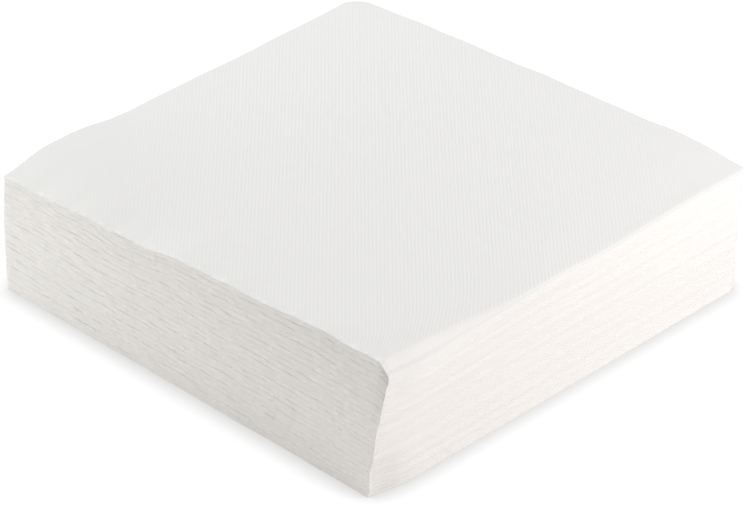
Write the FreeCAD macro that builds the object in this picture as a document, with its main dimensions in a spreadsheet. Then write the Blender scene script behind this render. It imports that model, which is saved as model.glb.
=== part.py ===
import FreeCAD, Part
import math
import os
import Sketcher

# Driving sizes, in millimetres and degrees
SIZES = {
    "sheet_width": "402",
    "sheet_depth": "396",
    "paper_thickness": "0.4",
    "fold_gap": "0.2",
    "crease_bevel": "0.3",
    "napkin_count": "25",
    "top_twist": "2.6",
    "top_slide_right": "2.6",
    "top_slide_back": "1.1",
    "drift_growth": "3",
    "stagger": "0.12",
    "stagger_turn": "0.04",
}

# The half fold leaves two layers and the gap between them, and the quarter fold lays two such pairs
# one gap apart. Both radii are measured from the middle plane of a folded napkin.
INNER_RADIUS = "Sizes.fold_gap / 2"
OUTER_RADIUS = "(2 * Sizes.paper_thickness + 1.5 * Sizes.fold_gap)"
HALF_WIDTH = "Sizes.sheet_width / 4"
HALF_DEPTH = "Sizes.sheet_depth / 4"

# Successive napkins slip by a different direction each time, a golden angle apart
GOLDEN_ANGLE = math.pi * (3 - math.sqrt(5))

# Lines of the section, in the order in which they are drawn
OUTSIDE, BEVEL, CREASE, INSIDE, INNER_EDGE, INNER_GAP, GAP_END, OUTER_GAP, OUTER_EDGE = range(9)
START, END = 1, 2
ORIGIN = (-1, 1)


def make_sheet(doc):
    """Keep the driving sizes in a spreadsheet, one named cell for each."""
    sheet = doc.addObject("Spreadsheet::Sheet", "Sizes")
    for row, (name, value) in enumerate(SIZES.items(), start=1):
        sheet.set(f"A{row}", name)
        sheet.set(f"B{row}", value)
        sheet.setAlias(f"B{row}", name)
    doc.recompute()
    return sheet


def origin_plane(body, role):
    """Find one of the body's own origin planes by its role."""
    return next(feature for feature in body.Origin.OriginFeatures if feature.Role == role)


def section_points(sheet):
    """Corners of the half-folded sheet seen along the quarter fold, as starting places for the sketch."""
    paper, gap, bevel = sheet.paper_thickness, sheet.fold_gap, sheet.crease_bevel
    fold = sheet.sheet_width / 4
    low = -(2 * paper + 1.5 * gap)
    high = -gap / 2
    return [
        (-fold, low), (fold - bevel, low), (fold, low + bevel), (fold, high), (-fold, high),
        (-fold, high - paper), (fold - paper, high - paper), (fold - paper, low + paper), (-fold, low + paper),
    ]


def draw_section(body, sheet):
    """Sketch two layers joined by the first fold, below the axis that the second fold turns about."""
    sketch = body.newObject("Sketcher::SketchObject", "Section")
    sketch.AttachmentSupport = (origin_plane(body, "XZ_Plane"), [""])
    sketch.MapMode = "FlatFace"
    sketch.setExpression("AttachmentOffset.Base.z", f"{HALF_DEPTH} - {OUTER_RADIUS}")
    points = [FreeCAD.Vector(x, z, 0) for x, z in section_points(sheet)]
    for first, second in zip(points, points[1:] + points[:1]):
        sketch.addGeometry(Part.LineSegment(first, second), False)
    for line in range(len(points)):
        sketch.addConstraint(Sketcher.Constraint("Coincident", line, END, (line + 1) % len(points), START))
    for line in (OUTSIDE, INSIDE, INNER_GAP, OUTER_GAP):
        sketch.addConstraint(Sketcher.Constraint("Horizontal", line))
    for line in (CREASE, INNER_EDGE, GAP_END, OUTER_EDGE):
        sketch.addConstraint(Sketcher.Constraint("Vertical", line))
    paper, bevel = "Sizes.paper_thickness", "Sizes.crease_bevel"
    dimensions = [
        ("DistanceX", "fold_side", ORIGIN, (CREASE, START), HALF_WIDTH),
        ("DistanceX", "outer_layer_side", (OUTSIDE, START), ORIGIN, HALF_WIDTH),
        ("DistanceX", "inner_layer_side", (INSIDE, END), ORIGIN, HALF_WIDTH),
        ("DistanceY", "outer_radius", (OUTSIDE, START), ORIGIN, OUTER_RADIUS),
        ("DistanceY", "inner_radius", (INSIDE, END), ORIGIN, INNER_RADIUS),
        ("DistanceY", "outer_layer", (OUTER_EDGE, END), (OUTER_EDGE, START), paper),
        ("DistanceY", "inner_layer", (INNER_EDGE, END), (INNER_EDGE, START), paper),
        ("DistanceX", "crease_layer", (GAP_END, START), (CREASE, START), paper),
        ("DistanceX", "bevel_width", (BEVEL, START), (BEVEL, END), bevel),
        ("DistanceY", "bevel_height", (BEVEL, START), (BEVEL, END), bevel),
    ]
    for kind, name, first, second, expression in dimensions:
        index = sketch.addConstraint(Sketcher.Constraint(kind, *first, *second, 1.0))
        sketch.renameConstraint(index, name)
        sketch.setExpression(f"Constraints.{name}", expression)
    return sketch


def make_napkin(doc, sheet, number):
    """Fold one sheet in quarters: the section runs back, turns half a circle and runs back again above."""
    body = doc.addObject("PartDesign::Body", f"Napkin{number}")
    body.Label = f"napkin_{number:02d}"
    section = draw_section(body, sheet)
    section.Visibility = False
    lower_half = body.newObject("PartDesign::Pad", "LowerHalf")
    lower_half.Profile = section
    lower_half.Reversed = True
    lower_half.setExpression("Length", f"Sizes.sheet_depth / 2 - {OUTER_RADIUS}")
    fold = body.newObject("PartDesign::Revolution", "QuarterFold")
    fold.Profile = section
    fold.ReferenceAxis = (section, ["H_Axis"])
    fold.Angle = 180
    fold.Reversed = True
    doc.recompute()
    upper_half = body.newObject("PartDesign::Mirrored", "UpperHalf")
    upper_half.Originals = [lower_half]
    upper_half.MirrorPlane = (origin_plane(body, "XY_Plane"), [""])
    body.Tip = upper_half
    return body


def lay_napkin(body, sheet, number):
    """Lay a napkin on the ones below, slid and turned a little further the higher it lies."""
    height = 4 * sheet.paper_thickness + 3 * sheet.fold_gap
    drift = ((number - 1) / (sheet.napkin_count - 1)) ** sheet.drift_growth
    slip = number * GOLDEN_ANGLE
    position = FreeCAD.Vector(
        drift * sheet.top_slide_right + sheet.stagger * math.cos(slip),
        drift * sheet.top_slide_back + sheet.stagger * math.sin(slip),
        (number - 0.5) * height,
    )
    turn = drift * sheet.top_twist + sheet.stagger_turn * math.sin(2 * slip)
    body.Placement = FreeCAD.Placement(position, FreeCAD.Rotation(FreeCAD.Vector(0, 0, 1), turn))


def centre_stack(bodies):
    """Shift the whole stack so that its box stands centred over the origin."""
    box = FreeCAD.BoundBox()
    for body in bodies:
        box.add(body.Shape.BoundBox)
    shift = FreeCAD.Vector(-box.Center.x, -box.Center.y, -box.ZMin)
    for body in bodies:
        body.Placement.Base = body.Placement.Base + shift


def check(doc, bodies):
    """Stop if any object failed or any napkin isn't one valid solid."""
    for item in doc.Objects:
        if "Invalid" in item.State or "Error" in item.State:
            raise RuntimeError(f"{item.Label} failed: {item.State}")
    for body in bodies:
        shape = body.Shape
        if shape.isNull() or not shape.isValid() or len(shape.Solids) != 1:
            raise RuntimeError(f"{body.Label} isn't one valid solid")


doc = FreeCAD.newDocument("NapkinStack")
sheet = make_sheet(doc)
numbers = range(1, int(sheet.napkin_count) + 1)
napkins = [make_napkin(doc, sheet, number) for number in numbers]
for number, napkin in zip(numbers, napkins):
    lay_napkin(napkin, sheet, number)
doc.recompute()
centre_stack(napkins)
doc.recompute()
check(doc, napkins)
os.makedirs("parts", exist_ok=True)
for napkin in napkins:
    napkin.Shape.exportStep(f"parts/{napkin.Label}.step")
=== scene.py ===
import math

import bpy
import numpy as np
from mathutils import Matrix, Vector


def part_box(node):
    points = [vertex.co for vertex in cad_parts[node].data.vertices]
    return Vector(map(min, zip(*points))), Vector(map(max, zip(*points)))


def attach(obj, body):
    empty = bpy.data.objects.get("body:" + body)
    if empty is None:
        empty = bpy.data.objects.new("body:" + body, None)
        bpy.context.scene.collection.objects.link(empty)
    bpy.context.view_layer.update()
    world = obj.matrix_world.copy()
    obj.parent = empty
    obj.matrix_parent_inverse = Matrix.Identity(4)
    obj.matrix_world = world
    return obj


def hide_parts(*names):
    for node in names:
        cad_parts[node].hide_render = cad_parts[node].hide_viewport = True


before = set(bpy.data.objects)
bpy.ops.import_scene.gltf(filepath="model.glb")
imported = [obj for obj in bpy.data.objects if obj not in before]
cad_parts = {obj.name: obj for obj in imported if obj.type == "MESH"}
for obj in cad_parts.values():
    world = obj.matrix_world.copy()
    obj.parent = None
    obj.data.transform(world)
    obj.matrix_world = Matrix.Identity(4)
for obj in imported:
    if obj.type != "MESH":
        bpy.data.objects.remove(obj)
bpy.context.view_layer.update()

# One napkin, in metres: a flat sheet folded in half towards +X and again towards -Y
SHEET_WIDTH = 0.402
SHEET_DEPTH = 0.396
PAPER = 0.0004
FOLD_GAP = 0.0002
FOLDED_WIDTH = SHEET_WIDTH / 2
FOLDED_DEPTH = SHEET_DEPTH / 2
FOLD_RADIUS = 2 * PAPER + 1.5 * FOLD_GAP
PITCH = 2 * FOLD_RADIUS
PAIR_HEIGHT = 2 * PAPER + FOLD_GAP
NAPKINS = len(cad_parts)

# How square the pressed folds are: 2 is a half circle and more is flatter
QUARTER_FOLD_POWER = 8.0
QUARTER_FOLD_POWER_NEAR = 14.0
HALF_FOLD_POWER = 16.0

# How far from the half fold the quarter fold is pressed squarer
SQUARE_REACH = 0.045

# Radius of the pile's corners seen from above, as signs of x and y with the radius below and at the
# top, the power by which it grows between them, and the least that it may be
CORNER_RADII = {
    (1, -1): (0.0006, 0.0058),
    (1, 1): (0.0010, 0.0020),
    (-1, 1): (0.0016, 0.0085),
    (-1, -1): (0.0012, 0.0008),
}
CORNER_GROWTH = 6
LEAST_CORNER_RADIUS = 0.0004

# How much of the gap between a napkin's halves the swollen half fold closes, and how far in it swells
CREASE_CLOSING = 0.97
CREASE_REACH = 0.010

# Air left between one napkin and the next, as a share of a napkin's height, and the share of that which
# is lost where the quarter fold is squarest
SLACK = 0.008
SLACK_LOSS = 0.6


def smooth_step(value):
    """0 below 0, 1 above 1 and 3v^2 - 2v^3 between them."""
    value = np.clip(value, 0.0, 1.0)
    return value * value * (3 - 2 * value)


def make_waves(seed, lengths, heights, climb=0.0):
    """Return a wave train f(s, k): a sum of sines over s, each of its own length, height and phase.

    The phase moves on by up to climb radians from one napkin k to the next, so that neighbours stay
    alike. Waves without a climb belong to a single napkin, and need no k.
    """
    random = np.random.default_rng(seed)
    phases = random.uniform(0, 2 * math.pi, len(lengths))
    drifts = random.uniform(-climb, climb, len(lengths))

    def train(along, level=0):
        total = np.zeros_like(along)
        for length, height, phase, drift in zip(lengths, heights, phases, drifts):
            total = total + height * np.sin(2 * math.pi * along / length + phase + drift * level)
        return total

    return train


def smooth_curve(value, places, heights):
    """A curve through the heights at the places, with a smooth step from each one to the next."""
    total = heights[0] + 0 * value
    for low, high, first, second in zip(places, places[1:], heights, heights[1:]):
        total = total + (second - first) * smooth_step((value - low) / (high - low))
    return total


# Small waves of the pile's edges, shared by all napkins: seed, lengths, heights and climb
QUARTER_EDGE_SWELL = make_waves(
    11, (0.061, 0.037, 0.023, 0.0155), (0.00022, 0.00018, 0.00013, 0.00009), climb=0.34,
)
HALF_EDGE_SWELL = make_waves(12, (0.070, 0.041, 0.022), (0.00015, 0.00010, 0.00005), climb=0.25)
CUT_EDGE_SWELL = make_waves(13, (0.064, 0.035, 0.021), (0.00015, 0.00012, 0.00008), climb=0.3)

# How far in they reach, over how many of the lowest napkins they set in, their share at the bottom and
# what the top adds to it, and how far the left edge's waves are moved along for the back edge
SWELL_REACH = 0.012
SWELL_LEVELS = 7
SWELL_SHARE = 0.55
SWELL_GROWTH = 0.45
BACK_EDGE_SHIFT = 0.05

# Waves of each napkin's own, as lengths and heights: up and down at its quarter fold, in and out of
# that fold and of the half fold in millimetres, and the power of the quarter fold's curve
OWN_WAVE = (0.031, 0.018, 0.0105), (0.00016, 0.00010, 0.00006)
FOLD_WAVE = (0.071, 0.037, 0.021, 0.012), (0.09, 0.07, 0.06, 0.05)
CREASE_WAVE = (0.090, 0.050, 0.024), (0.014, 0.008, 0.004)
POWER_WAVE = (0.031, 0.019, 0.011), (0.9, 0.8, 0.7)
MILLIMETRE = 0.001
OWN_WAVE_REACH = 0.006
FOLD_WAVE_REACH = 0.014

# How far the layers slip at the cut edges at most, and how far in from there
SLIP = 0.0007
SLIP_REACH = 0.035

# First seed of each kind that differs from napkin to napkin, to which its number is added
FOLD_SEED = 100
CREASE_SEED = 200
SLIP_SEED = 400
POWER_SEED = 500
OWN_SEED = 600


def placement(node):
    """Read where a napkin lies from its solid: its centre and how far it is turned."""
    mesh = node.data
    points = np.empty(len(mesh.vertices) * 3)
    mesh.vertices.foreach_get("co", points)
    x, y = points.reshape(-1, 3)[:, :2].T
    left = np.argmin(x + y)
    back = np.argmin(x - y)
    turn = math.atan2(x[left] - x[back], y[back] - y[left])
    centre = ((x.min() + x.max()) / 2, (y.min() + y.max()) / 2)
    return centre[0], centre[1], turn


PLACES = np.array([placement(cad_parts[name]) for name in sorted(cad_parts)])


def place_at(level):
    """Centre and turn of the pile at any level, also inside a napkin, which shears a little to follow it."""
    return [np.interp(level, np.arange(NAPKINS) + 0.5, row) for row in PLACES.T]


def to_napkin(level, x, y):
    """Turn a place in the frame into a place on the pile at that level, measured from its middle."""
    centre_x, centre_y, turn = place_at(level)
    across, along = x - centre_x, y - centre_y
    return (across * np.cos(turn) + along * np.sin(turn), along * np.cos(turn) - across * np.sin(turn))


def to_frame(level, x, y):
    """Turn a place on the pile at that level into a place in the frame."""
    centre_x, centre_y, turn = place_at(level)
    return (centre_x + x * np.cos(turn) - y * np.sin(turn), centre_y + x * np.sin(turn) + y * np.cos(turn))


# How the top's shape grows from the bottom up, as powers of the share of the height
CORNER_SINK_GROWTH = 3
SIDE_GROWTH = 2.5
ROLL_GROWTH = 3

# Corners of the pile as signs of x and y, with how far the top sinks there and how far in that reaches
CORNERS = {"near": (1, -1, 0.0006, 0.008), "right": (1, 1, 0.0024, 0.020)}

# Sides of the pile as the axis and its sign, how far in they reach, and the top's rise or sink along
# the side, from the left or near end to the other
SIDES = {
    "quarter fold": (
        "y", -1, 0.016,
        (0, 0.030, 0.066, 0.094, 0.120, 0.150, 0.192, 0.201),
        (-0.0002, -0.0004, -0.0017, 0.0004, 0.0004, 0.0007, 0, 0),
    ),
    "half fold": (
        "x", 1, 0.020,
        (0.078, 0.118, 0.170, 0.198),
        (0, -0.0024, -0.0026, -0.0018),
    ),
    "cut edges left": (
        "x", -1, 0.050,
        (0, 0.024, 0.032, 0.068, 0.140),
        (-0.0009, 0.0028, 0.0028, 0, -0.0004),
    ),
    "cut edges back": (
        "y", 1, 0.014,
        (0, 0.025, 0.090, 0.140, 0.185),
        (0.0006, 0.0003, -0.0002, -0.0009, -0.0006),
    ),
}

# The half fold side is rolled down like a pillow's: depth and width of the roll from the near end to
# the back, and the power of its curve, which is round where that is low
ROLL_PLACES = (0, 0.014, 0.040, 0.070, 0.105, 0.160, 0.198)
ROLL_DEPTHS = (0.0036, 0.0036, 0.0027, 0.0014, 0.0010, 0.0008, 0.0008)
ROLL_WIDTHS = (0.0041, 0.0041, 0.0045, 0.0055, 0.0035, 0.0030, 0.0030)
ROLL_POWERS = (1.3, 1.3, 1.45, 2.3, 2.5, 2.5, 2.5)

# How far the rolled half fold is drawn in at the near end of the top, and a little at that corner on
# every level
ROLL_PULL = 0.0050
ROLL_PULL_LENGTH = 0.080
ROLL_PULL_WIDTH = 0.026
ROLL_PULL_GROWTH = 9
CORNER_PULL_LEVELS = (0, 3, 9, 16, 21, 25)
CORNER_PULLS = (0.0028, 0.0030, 0.0011, 0.0008, 0.0018, 0.0015)
CORNER_PULL_LENGTH = 0.016

# The lowest half folds step in and out in turn beside the near corner, where their gaps stay open wider
LOW_LEVELS = 8
LOW_STEP = 0.00040
LOW_STEP_LENGTH = 0.050
LOW_OPENING = 0.45


def fold_pull(level, along):
    """How far the half fold of that level is drawn in: where it is rolled, and at the near corner."""
    from_near = FOLDED_DEPTH / 2 + along
    corner = smooth_curve(level, CORNER_PULL_LEVELS, CORNER_PULLS)
    rolled = ROLL_PULL * (level / NAPKINS) ** ROLL_PULL_GROWTH
    return (
        corner * smooth_step(1 - from_near / CORNER_PULL_LENGTH)
        + rolled * smooth_step(1 - from_near / ROLL_PULL_LENGTH)
    )


def pile_height(level, x, y):
    """Height of the surface between a napkin and the next one, over the place x, y of the frame.

    It is the flat height of that many napkins, plus the rise or sink of each side, which dies away
    inwards as a bell curve, less a sink that dies away exponentially from the corners, less the power
    curve of the rolled side, plus small waves that die away exponentially from the edges. All of these
    grow with the level. At the quarter fold the napkin's own waves are added, which are as high on every
    level, except below the lowest napkin and above the top one, where there are none.
    """
    rise = level / NAPKINS
    across, along = to_napkin(level, x, y)
    from_near, from_left = FOLDED_DEPTH / 2 + along, FOLDED_WIDTH / 2 + across
    height = np.full_like(x, level * PITCH)
    for sign_x, sign_y, sink, reach in CORNERS.values():
        away = np.hypot(FOLDED_WIDTH / 2 - sign_x * across, FOLDED_DEPTH / 2 - sign_y * along)
        height -= rise ** CORNER_SINK_GROWTH * sink * np.exp(-away / reach)
    for axis, sign, reach, places, heights in SIDES.values():
        inside = FOLDED_WIDTH / 2 - sign * across if axis == "x" else FOLDED_DEPTH / 2 - sign * along
        place = from_near if axis == "x" else from_left
        change = rise ** SIDE_GROWTH * smooth_curve(place, places, heights)
        height += change * np.exp(-(inside / reach) ** 2)
    depth, width, power = (
        smooth_curve(from_near, ROLL_PLACES, row) for row in (ROLL_DEPTHS, ROLL_WIDTHS, ROLL_POWERS)
    )
    inside = FOLDED_WIDTH / 2 - fold_pull(level, along) - across
    height -= rise ** ROLL_GROWTH * depth * np.clip(1 - inside / width, 0, 1) ** power
    own_wave = make_waves(OWN_SEED + level, *OWN_WAVE)(across)
    height += own_wave * (0 < level < NAPKINS) * np.exp(-np.abs(from_near) / OWN_WAVE_REACH)
    share = min(level / SWELL_LEVELS, 1.0) * (SWELL_SHARE + SWELL_GROWTH * rise)
    half_edge_swell = HALF_EDGE_SWELL(along, level) * smooth_step(from_near / ROLL_PULL_LENGTH)
    for away, wave in (
        (from_near, QUARTER_EDGE_SWELL(across, level)),
        (FOLDED_WIDTH / 2 - across, half_edge_swell),
        (from_left, CUT_EDGE_SWELL(along, level)),
        (FOLDED_DEPTH / 2 - along, CUT_EDGE_SWELL(across + BACK_EDGE_SHIFT, level)),
    ):
        height += share * wave * np.exp(-np.abs(away) / SWELL_REACH)
    return height


# Points of a napkin's grid: across the face of the outer layer, across the hidden inner layer and round
# the half fold, then along each half and round the quarter fold
FACE_POINTS = 110
HIDDEN_POINTS = 8
CREASE_POINTS = 7
LEG_POINTS = 27
BEND_POINTS = 10

# How strongly they crowd towards both ends
CROWDING = 0.66
HIDDEN_CROWDING = 0.55

# The bend's cosine counts as nothing from here on, so that its ends are exact
BEND_END = 0.4999 * math.pi


def clustered(low, high, count, crowding):
    """Places from low to high, crowded towards both ends: an even spread less a sine of its whole turn."""
    even = np.linspace(0, 1, count)
    return low + (high - low) * (even - crowding * np.sin(2 * math.pi * even) / (2 * math.pi))


def squared_bend(angle, power):
    """A half circle made squarer: reach and lift are its cosine and sine to the power of 2 / power."""
    cosine = np.where(np.abs(angle) < BEND_END, np.cos(angle), 0.0)
    return cosine ** (2 / power), np.sign(angle) * np.abs(np.sin(angle)) ** (2 / power)


def section():
    """The closed outline of two layers joined at the half fold, as x, depth below the outside and flat place.

    It runs on the outside of the paper along the outer layer, round a squared half circle and back
    along the inner layer. Then it returns over the same places on the inside of the paper, so that
    point i of the outline and point i from its end are partners through the paper.
    """
    half = FOLDED_WIDTH / 2
    bend = PAIR_HEIGHT / 2
    angle = np.linspace(-math.pi / 2, math.pi / 2, CREASE_POINTS + 2)[1:-1]
    reach, lift = squared_bend(angle, HALF_FOLD_POWER)
    outer = clustered(-half, half - bend, FACE_POINTS, CROWDING)
    inner = clustered(-half, half - bend, HIDDEN_POINTS, HIDDEN_CROWDING)[::-1]
    flat = np.concatenate([
        outer + half,
        half + half - bend + bend * (angle + math.pi / 2) / (math.pi / 2),
        SHEET_WIDTH - half - inner,
    ])
    x_rows, depth_rows = [], []
    for paper_depth in (0.0, PAPER):
        radius = bend - paper_depth
        x_rows.append(np.concatenate([outer, half - bend + radius * reach, inner]))
        depth_rows.append(np.concatenate([
            np.full(FACE_POINTS, paper_depth),
            bend + radius * lift,
            np.full(HIDDEN_POINTS, PAIR_HEIGHT - paper_depth),
        ]))
    return [np.concatenate([first, second[::-1]]) for first, second in (x_rows, depth_rows, (flat, flat))]


def fold_path():
    """The path of the quarter fold: places along y, the angle of its bend and the place on the flat sheet.

    The lower half comes forward at -90 degrees, the bend turns from -90 to 90 and the upper half runs
    back.
    """
    front = -FOLDED_DEPTH / 2 + FOLD_RADIUS
    leg = np.append(front, clustered(front + FOLD_RADIUS / 2, FOLDED_DEPTH / 2, LEG_POINTS - 1, CROWDING))
    quarter = math.pi / 2
    bend = np.linspace(-quarter, quarter, BEND_POINTS + 2)[1:-1]
    y = np.concatenate([leg[::-1], np.full(BEND_POINTS, front), leg])
    angle = np.concatenate([np.full(LEG_POINTS, -quarter), bend, np.full(LEG_POINTS, quarter)])
    flat = FOLDED_DEPTH + FOLD_RADIUS * angle + np.concatenate([
        FOLDED_DEPTH / 2 - leg[::-1] - FOLDED_DEPTH + FOLD_RADIUS * quarter,
        np.zeros(BEND_POINTS),
        leg + FOLDED_DEPTH / 2 - FOLD_RADIUS * quarter,
    ])
    return y, angle, flat


def round_corners(x, y, rise):
    """Round the plan's four corners: each square of that side is mapped to a quarter disc.

    A place a, b out from the square's inner corner goes to a sqrt(1 - b^2 / 2r^2) across and to
    b sqrt(1 - a^2 / 2r^2) along. The radius goes from its lower to its upper value with a power of the
    height.
    """
    radius = np.zeros_like(x)
    for (sign_x, sign_y), (low, high) in CORNER_RADII.items():
        radius += (x * sign_x > 0) * (y * sign_y > 0) * (low + (high - low) * rise ** CORNER_GROWTH)
    radius = np.maximum(radius, LEAST_CORNER_RADIUS)
    out_x = np.maximum(np.abs(x) - (FOLDED_WIDTH / 2 - radius), 0)
    out_y = np.maximum(np.abs(y) - (FOLDED_DEPTH / 2 - radius), 0)
    new_x = out_x * np.sqrt(np.maximum(1 - 0.5 * (out_y / radius) ** 2, 0))
    new_y = out_y * np.sqrt(np.maximum(1 - 0.5 * (out_x / radius) ** 2, 0))
    return x + np.sign(x) * (new_x - out_x), y + np.sign(y) * (new_y - out_y)


def napkin_points(level, ring, path):
    """Every point of one folded napkin, the outline's ring by the path, with its place on the flat sheet.

    The outline is carried along the path and turned half round with its squared bend. Its places across
    the napkin's height then become shares of the room between the surfaces of the pile below and above
    it.
    """
    ring_x, depth, flat_x = (row[:, None] for row in ring)
    path_y, angle, flat_y = (row[None, :] for row in path)
    near_crease = smooth_step(1 - (FOLDED_WIDTH / 2 - ring_x) / CREASE_REACH)
    squareness = smooth_step(1 - (FOLDED_WIDTH / 2 - ring_x) / SQUARE_REACH)
    power_wave = make_waves(POWER_SEED + level, *POWER_WAVE)
    power = QUARTER_FOLD_POWER + (QUARTER_FOLD_POWER_NEAR - QUARTER_FOLD_POWER) * squareness
    power = power + power_wave(ring_x) * (1 - squareness)
    reach, lift = squared_bend(angle + 0 * power, power)
    upper = angle > 0

    # The gap between the two halves closes where the half fold swells, but less at the lowest napkins'
    # near end
    radius = FOLD_RADIUS - depth
    swollen = (radius - FOLD_GAP / 2) * FOLD_RADIUS / (FOLD_RADIUS - FOLD_GAP / 2)
    x = ring_x + 0 * path_y
    y = path_y - radius * reach
    near_end = np.exp(-(path_y + FOLDED_DEPTH / 2) / LOW_STEP_LENGTH)
    lowness = max(0, 1 - level / LOW_LEVELS)
    closing = CREASE_CLOSING - LOW_OPENING * lowness * near_end
    z = (radius + closing * near_crease * (swollen - radius)) * lift
    share = (z + FOLD_RADIUS) / PITCH
    if level > 1:
        slack = SLACK * (1 - SLACK_LOSS * squareness)
        share = slack / 2 + (1 - slack) * share
    height = level - 1 + share

    # Each fold and cut edge runs a little in and out, the folds differently on every napkin, and the
    # cut edges on every layer too
    fold_wave = make_waves(FOLD_SEED + level, *FOLD_WAVE)
    crease_wave = make_waves(CREASE_SEED + level, *CREASE_WAVE)
    near_fold = smooth_step(1 - (y + FOLDED_DEPTH / 2) / FOLD_WAVE_REACH)
    near_cut_x = smooth_step(1 - (FOLDED_WIDTH / 2 + x) / SLIP_REACH)
    near_cut_y = smooth_step(1 - (FOLDED_DEPTH / 2 - y) / SLIP_REACH)
    slips = np.random.default_rng(SLIP_SEED + level).uniform(-SLIP, SLIP, (2, 4))
    layer = np.where(depth > PAIR_HEIGHT / 2, 1, 0) + np.where(upper, 2, 0)
    pull = fold_pull(height, y) * smooth_step(1 - (FOLDED_WIDTH / 2 - x) / ROLL_PULL_WIDTH)
    step = LOW_STEP * (-1) ** level * lowness * near_end
    x_shift = near_crease * (MILLIMETRE * crease_wave(y) + step) + near_cut_x * slips[0][layer] - pull
    y_shift = near_cut_y * slips[1][layer] - near_fold * MILLIMETRE * fold_wave(x) * (1 - squareness)
    x, y = round_corners(x + x_shift, y + y_shift, height / NAPKINS)
    frame_x, frame_y = to_frame(height, x, y)
    floor = pile_height(level - 1, frame_x, frame_y)
    ceiling = pile_height(level, frame_x, frame_y)
    points = np.stack([frame_x, frame_y, floor + share * (ceiling - floor)], axis=-1)
    flat = np.stack([np.broadcast_to(flat_x, x.shape), np.broadcast_to(flat_y, x.shape)], axis=-1)
    return points, flat


# Faces that meet at more than this keep a sharp edge between them
SHARP_ANGLE = math.radians(24)


def sheet_mesh(name, points, flat):
    """Make a closed mesh of a grid that is a ring along its first side, with a wall of faces at each end.

    The ring's two halves are partners through the paper, so each end wall is a row of faces between them.
    """
    ring, steps = points.shape[:2]
    index = np.arange(ring * steps).reshape(ring, steps)
    across = np.roll(index, -1, axis=0)
    quads = np.stack([index[:, :-1], across[:, :-1], across[:, 1:], index[:, 1:]], axis=-1).reshape(-1, 4)
    outside, inside = index[:ring // 2], index[:ring // 2 - 1:-1]
    wall = np.stack([outside[:-1], inside[:-1], inside[1:], outside[1:]], axis=-1)
    quads = np.concatenate([quads, wall[:, 0], wall[:, -1, ::-1]])
    mesh = bpy.data.meshes.new(name)
    mesh.from_pydata(points.reshape(-1, 3), [], quads)
    mesh.update()
    layer = mesh.uv_layers.new(name="FlatSheet")
    corner_vertex = np.empty(len(mesh.loops), dtype=np.int32)
    mesh.loops.foreach_get("vertex_index", corner_vertex)
    layer.uv.foreach_set("vector", flat.reshape(-1, 2)[corner_vertex].astype(np.float32).ravel())
    mesh.shade_smooth()
    mesh.set_sharp_from_angle(angle=SHARP_ANGLE)
    return mesh


def add_piece(name, mesh, material):
    """Put a finished mesh into the scene with its material."""
    piece = bpy.data.objects.new(name, mesh)
    bpy.context.scene.collection.objects.link(piece)
    mesh.materials.append(material)
    return piece


class Nodes:
    """Short hand for a material's nodes: each call adds a node and returns its first output."""

    def __init__(self, material):
        self.tree = material.node_tree
        self.tree.nodes.clear()

    def add(self, kind, inputs=(), **settings):
        """Add a node, set its own settings, and give its inputs values or links."""
        node = self.tree.nodes.new(kind)
        for name, value in settings.items():
            setattr(node, name, value)
        for name, value in dict(inputs).items():
            if isinstance(value, bpy.types.NodeSocket):
                self.tree.links.new(value, node.inputs[name])
            else:
                node.inputs[name].default_value = value
        return node

    def math(self, operation, *values):
        """One sum, product or function of up to three values."""
        return self.add("ShaderNodeMath", dict(enumerate(values)), operation=operation).outputs[0]


# White of the paper, between two tints, and a paler, warmer colour painted on the rolled strip beside the
# half fold as painted light
PAPER_TINTS = (0.870, 0.863, 0.846, 1), (0.885, 0.880, 0.866, 1)
ROLL_PAINTED_LIGHT_COLOUR = (0.930, 0.908, 0.885, 1)

# Linen emboss of the paper: wavelength, its turn off the sheet's diagonal, height of the relief, how
# much painted light it puts on the crests and painted shade in the hollows, and the share of the lines across
# the other diagonal
EMBOSS_LENGTH = 0.00140
EMBOSS_TURN = math.radians(-2.6)
EMBOSS_RELIEF = 0.000086
EMBOSS_PAINTED_SHADE = 0.039
CROSS_SHARE = 0.08

# The emboss is crisp around this place. The distance from there is measured along two directions, each
# with its own weight, and between these two distances the emboss loses this share of its strength.
EMBOSS_CREST = (0.020, -0.006, 0)
EMBOSS_DIAGONALS = (0.707, 0.707, 0), (0.50, -0.50, 0)
EMBOSS_FADE_REACH = 0.030, 0.135
EMBOSS_FADE = 0.80

# Beside the half fold: where the emboss begins, how wide the plain strip is at the near end and further
# back, and between which distances the painted light on that strip sets in
HALF_FOLD_START = 0.0008
PLAIN_STRIP = 0.0085, 0.0018
ROLL_PAINTED_LIGHT_START = 0.0004, 0.0006

# Between these distances from the quarter fold the fibres give way to the emboss
QUARTER_FOLD_START = 0.0018, 0.0030

# What the long fibres on the quarter fold, the fine fibres and the emboss add to the relief, as shares of
# its height, and how much painted highlight lightens the raised streaks of the long fibres
QUARTER_FOLD_STREAKS = 6.5
FIBRE_SHARE = 0.12
EMBOSS_SHARE = 0.5
STREAK_PAINTED_LIGHT = 0.060

# Noises of the paper: its fine fibres, its cloudy tint and the long fibres, which are drawn out sideways
FIBRE_NOISE = {"Scale": 1400.0, "Detail": 3.0, "Roughness": 0.6}
CLOUD_NOISE = {"Scale": 160.0, "Detail": 3.0, "Roughness": 0.55}
STREAK_NOISE = {"Scale": 250.0, "Detail": 2.0, "Roughness": 0.5}
STREAK_STRETCH = (1.4, 1.4, 8.0)


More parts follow.
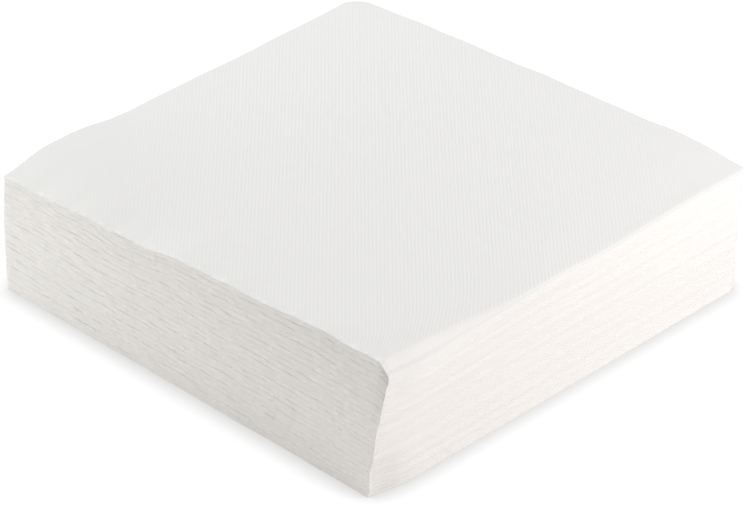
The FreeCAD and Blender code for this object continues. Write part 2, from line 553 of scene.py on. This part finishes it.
def paper_material():
    """Soft white paper with a fine embossed linen grain on both diagonals of the sheet.

    The emboss is a sum of two sines over the flat sheet, one across each diagonal, as relief and as faint
    painted light and shade, lighter on the crests than in the hollows. It fades with the distance from the
    middle, measured along the two diagonals and joined as the root of the sum of squares. It is pressed flat
    at the folds. The quarter fold shows long thin fibres instead, whose raised streaks are painted lighter
    as painted highlight, and the half fold a plain strip, widest where it is rolled, which painted light
    makes paler and warmer. A cloudy noise tints the white by a trace, and fine fibres roughen it.
    """
    material = bpy.data.materials.new("napkin paper")
    material.use_nodes = True
    nodes = Nodes(material)
    flat = nodes.add("ShaderNodeUVMap", uv_map="FlatSheet").outputs["UV"]
    place = nodes.add("ShaderNodeTexCoord").outputs["Object"]
    split = nodes.add("ShaderNodeSeparateXYZ", {"Vector": flat})

    # Linen grain: crest lines across one diagonal, weaker ones across the other
    waves = []
    turns = 2 * math.pi / EMBOSS_LENGTH
    for angle, share in (
        (math.pi / 4 + EMBOSS_TURN, 1 - CROSS_SHARE),
        (EMBOSS_TURN - math.pi / 4, CROSS_SHARE),
    ):
        across = nodes.math(
            "ADD",
            nodes.math("MULTIPLY", split.outputs["X"], turns * math.cos(angle)),
            nodes.math("MULTIPLY", split.outputs["Y"], turns * math.sin(angle)),
        )
        waves.append(nodes.math("MULTIPLY", nodes.math("SINE", across), share))
    grain = nodes.math("ADD", *waves)

    # 0 on a fold and 1 beyond it; the half fold's plain strip is widest at the near end
    from_half_fold, from_quarter_fold = (
        nodes.math("ABSOLUTE", nodes.math("SUBTRACT", split.outputs[axis], fold))
        for axis, fold in (("X", SHEET_WIDTH / 2), ("Y", SHEET_DEPTH / 2))
    )
    strip = nodes.add("ShaderNodeMapRange", {
        0: from_quarter_fold, 1: 0.0, 2: ROLL_PULL_LENGTH, 3: PLAIN_STRIP[0], 4: PLAIN_STRIP[1],
    }, interpolation_type="SMOOTHSTEP").outputs[0]
    off_half_fold, off_quarter_fold = (
        nodes.add(
            "ShaderNodeMapRange", {0: away, 1: start, 2: end}, interpolation_type="SMOOTHSTEP",
        ).outputs[0]
        for away, start, end in (
            (from_half_fold, HALF_FOLD_START, strip),
            (from_quarter_fold, *QUARTER_FOLD_START),
        )
    )
    grain = nodes.math("MULTIPLY", nodes.math("MULTIPLY", grain, off_half_fold), off_quarter_fold)

    # The emboss is crisp in the middle of the pile and fainter outwards
    from_crest = nodes.add(
        "ShaderNodeVectorMath", {0: place, 1: EMBOSS_CREST}, operation="SUBTRACT",
    ).outputs[0]
    sides = [
        nodes.add("ShaderNodeVectorMath", {0: from_crest, 1: side}, operation="DOT_PRODUCT").outputs["Value"]
        for side in EMBOSS_DIAGONALS
    ]
    away = nodes.math("SQRT", nodes.math("ADD", *(nodes.math("MULTIPLY", side, side) for side in sides)))
    fade = nodes.add("ShaderNodeMapRange", {
        0: away, 1: EMBOSS_FADE_REACH[0], 2: EMBOSS_FADE_REACH[1], 3: 1.0, 4: 1 - EMBOSS_FADE,
    }, interpolation_type="SMOOTHSTEP").outputs[0]
    grain = nodes.math("MULTIPLY", grain, fade)

    # Long fibres on the quarter fold, and finer ones everywhere
    on_quarter_fold = nodes.math(
        "MULTIPLY_ADD", off_quarter_fold, -QUARTER_FOLD_STREAKS, QUARTER_FOLD_STREAKS,
    )
    stretched = nodes.add(
        "ShaderNodeVectorMath", {0: place, 1: STREAK_STRETCH}, operation="MULTIPLY",
    ).outputs[0]
    streak = nodes.add("ShaderNodeTexNoise", {"Vector": stretched, **STREAK_NOISE}).outputs["Fac"]
    streaks = nodes.math("MULTIPLY", nodes.math("SUBTRACT", streak, 0.5), on_quarter_fold)
    fibre = nodes.add("ShaderNodeTexNoise", {"Vector": place, **FIBRE_NOISE}).outputs["Fac"]
    relief = nodes.math(
        "ADD",
        nodes.math("MULTIPLY", grain, EMBOSS_SHARE),
        nodes.math("ADD", nodes.math("MULTIPLY", fibre, FIBRE_SHARE), streaks),
    )
    bump = nodes.add("ShaderNodeBump", {"Height": relief, "Strength": 1.0, "Distance": EMBOSS_RELIEF})

    # Colour: a cloudy white, painted light that makes the rolled strip beside the half fold paler, and
    # painted light and shade that follow the relief
    cloud = nodes.add("ShaderNodeTexNoise", {"Vector": place, **CLOUD_NOISE}).outputs["Fac"]
    tint = nodes.add(
        "ShaderNodeMix", {0: cloud, 6: PAPER_TINTS[0], 7: PAPER_TINTS[1]}, data_type="RGBA",
    ).outputs[2]
    off_crease = nodes.add(
        "ShaderNodeMapRange", {0: from_half_fold, 1: ROLL_PAINTED_LIGHT_START[0], 2: ROLL_PAINTED_LIGHT_START[1]},
    ).outputs[0]
    off_folds = nodes.math("MULTIPLY", off_crease, off_quarter_fold)
    # Painted light: the rolled strip beside the half fold is painted paler and warmer
    painted_roll_light = nodes.math("MULTIPLY", off_folds, nodes.math("SUBTRACT", 1.0, off_half_fold))
    tint = nodes.add("ShaderNodeMix", {0: painted_roll_light, 6: tint, 7: ROLL_PAINTED_LIGHT_COLOUR}, data_type="RGBA").outputs[2]
    # Painted highlight: where the long fibres' relief is raised, the paper is painted lighter
    lit_streak_crests = nodes.math("MAXIMUM", streaks, 0.0)
    # Painted shade and light: the emboss's hollows are painted darker and its crests lighter
    shade = nodes.math(
        "MULTIPLY_ADD", grain, EMBOSS_PAINTED_SHADE, nodes.math("MULTIPLY_ADD", lit_streak_crests, STREAK_PAINTED_LIGHT, 1.0),
    )
    shaded = nodes.add("ShaderNodeVectorMath", {0: tint, "Scale": shade}, operation="SCALE").outputs[0]
    surface = nodes.add("ShaderNodeBsdfPrincipled", {
        "Base Color": shaded, "Roughness": 0.92, "Specular IOR Level": 0.25, "Sheen Weight": 0.12,
        "Sheen Roughness": 0.6, "Normal": bump.outputs["Normal"],
    })
    nodes.add("ShaderNodeOutputMaterial", {"Surface": surface.outputs["BSDF"]})
    return material


def make_napkins():
    """Build every napkin as its own folded sheet, in place of its plain solid, each on the one below."""
    paper = paper_material()
    ring, path = section(), fold_path()
    for level, node in enumerate(sorted(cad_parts), start=1):
        points, flat = napkin_points(level, ring, path)
        piece = add_piece(f"folded_{node}", sheet_mesh(f"folded_{node}", points, flat), paper)
        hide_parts(node)
        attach(piece, "root")


# Floor: half its width, then as the camera sees it its own white, how dark the contact shadow painted into
# it is, how far it reaches, and the share of the lamps' light. The light that it throws back on the paper is
# a little warm.
FLOOR_HALF = 3.0
FLOOR_WHITE = 0.88
CONTACT_SHADE = 0.62
CONTACT_REACH = 0.0098
FLOOR_LIT = (0.20, 0.20, 0.20, 1)
FLOOR_BOUNCE = (0.87, 0.80, 0.765, 1)


def make_floor():
    """A wide pale floor that looks white where it is open, and keeps the soft contact shadow of the pile."""
    mesh = bpy.data.meshes.new("floor")
    corners = [(x * FLOOR_HALF, y * FLOOR_HALF, 0) for x, y in ((-1, -1), (1, -1), (1, 1), (-1, 1))]
    mesh.from_pydata(corners, [], [(0, 1, 2, 3)])
    floor = bpy.data.objects.new("floor", mesh)
    bpy.context.scene.collection.objects.link(floor)
    material = bpy.data.materials.new("white floor")
    material.use_nodes = True
    nodes = Nodes(material)
    seen = nodes.add("ShaderNodeLightPath").outputs["Is Camera Ray"]
    board = nodes.add("ShaderNodeBsdfDiffuse", {"Color": FLOOR_BOUNCE}).outputs["BSDF"]
    lit = nodes.add("ShaderNodeBsdfDiffuse", {"Color": FLOOR_LIT}).outputs["BSDF"]
    # Painted shadow: ambient occlusion from the pile darkens the floor's glow into the contact shadow
    clear = nodes.add("ShaderNodeAmbientOcclusion", {"Distance": CONTACT_REACH}, samples=8).outputs["AO"]
    white = nodes.math("MULTIPLY_ADD", clear, CONTACT_SHADE * FLOOR_WHITE, (1 - CONTACT_SHADE) * FLOOR_WHITE)
    glow = nodes.add("ShaderNodeEmission", {"Color": (1, 1, 1, 1), "Strength": white}).outputs["Emission"]
    shown_floor = nodes.add("ShaderNodeAddShader", {0: lit, 1: glow}).outputs["Shader"]
    shown = nodes.add("ShaderNodeMixShader", {0: seen, 1: board, 2: shown_floor}).outputs["Shader"]
    nodes.add("ShaderNodeOutputMaterial", {"Surface": shown})
    mesh.materials.append(material)


# Camera, from the fit to the photo: turned this far from the front, looking down this much, that far
# off, with its sensor, its frame and focal length in pixels, and where the middle of the lowest napkin's
# base lies in the frame
CAMERA_TURN = math.radians(44.82)
CAMERA_TILT = math.radians(32.03)
CAMERA_DISTANCE = 6.46 * FOLDED_DEPTH
SENSOR_WIDTH_MM = 36
FRAME_WIDTH_PX = 747
FRAME_HEIGHT_PX = 512
FOCAL_PX = 3300
BASE_CENTRE_PX = (370.2, 288.2)


def make_camera():
    """A long lens, aimed so that the middle of the lowest napkin's base lands at its place in the frame."""
    low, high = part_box("napkin_01")
    base = Vector(((low.x + high.x) / 2, (low.y + high.y) / 2, 0))
    back = Vector((
        math.sin(CAMERA_TURN) * math.cos(CAMERA_TILT),
        -math.cos(CAMERA_TURN) * math.cos(CAMERA_TILT),
        math.sin(CAMERA_TILT),
    ))
    right = Vector((math.cos(CAMERA_TURN), math.sin(CAMERA_TURN), 0))
    up = back.cross(right)
    side_px = FRAME_WIDTH_PX / 2 - BASE_CENTRE_PX[0]
    rise_px = BASE_CENTRE_PX[1] - FRAME_HEIGHT_PX / 2
    place = base + back * CAMERA_DISTANCE
    aim = base + (right * side_px + up * rise_px) * (CAMERA_DISTANCE / FOCAL_PX)
    data = bpy.data.cameras.new("camera")
    data.sensor_width = SENSOR_WIDTH_MM
    data.lens = data.sensor_width * FOCAL_PX / FRAME_WIDTH_PX
    camera = bpy.data.objects.new("camera", data)
    bpy.context.scene.collection.objects.link(camera)
    turn = (place - aim).to_track_quat("Z", "Y").to_matrix().to_4x4()
    camera.matrix_world = Matrix.Translation(place) @ turn
    bpy.context.scene.camera = camera


# Studio light: the even light from all round, then the lamps as place, size, power in watts and colour,
# and the place that they all point at
SKY_LEVEL = 0.385
SKY_COLOUR = (1.0, 0.965, 0.935, 1)
LAMPS = {
    "right lamp": ((0.75, 0.35, 0.45), 0.5, 5.2, (0.980, 0.99, 1.01)),
    "left lamp": ((-0.72, -0.60, 0.20), 0.34, 4.73, (0.960, 1.0, 1.01)),
    "top lamp": ((-0.42, 0.15, 0.62), 0.6, 1.90, (0.955, 0.995, 1.010)),
}
LAMP_AIM = (0, 0, 0.03)


def make_lamps():
    """Square soft lamps on the right, on the left and above."""
    for name, (place, size, power, colour) in LAMPS.items():
        data = bpy.data.lights.new(name, "AREA")
        data.shape = "SQUARE"
        data.size = size
        data.energy = power
        data.color = colour
        lamp = bpy.data.objects.new(name, data)
        lamp.location = place
        lamp.rotation_euler = (Vector(place) - Vector(LAMP_AIM)).to_track_quat("Z", "Y").to_euler()
        bpy.context.scene.collection.objects.link(lamp)


def make_sky():
    """Even light from all round, which the camera sees as plain white."""
    world = bpy.data.worlds.new("studio")
    bpy.context.scene.world = world
    world.use_nodes = True
    nodes = Nodes(world)
    path = nodes.add("ShaderNodeLightPath")
    seen = nodes.math("MAXIMUM", path.outputs["Is Camera Ray"], path.outputs["Is Glossy Ray"])
    even, white = (
        nodes.add("ShaderNodeBackground", {"Color": colour, "Strength": level}).outputs["Background"]
        for colour, level in ((SKY_COLOUR, SKY_LEVEL), ((1, 1, 1, 1), 1.0))
    )
    shown = nodes.add("ShaderNodeMixShader", {0: seen, 1: even, 2: white}).outputs["Shader"]
    nodes.add("ShaderNodeOutputWorld", {"Surface": shown})


bpy.context.scene.view_settings.view_transform = "Standard"
make_camera()
make_napkins()
make_floor()
make_sky()
make_lamps()
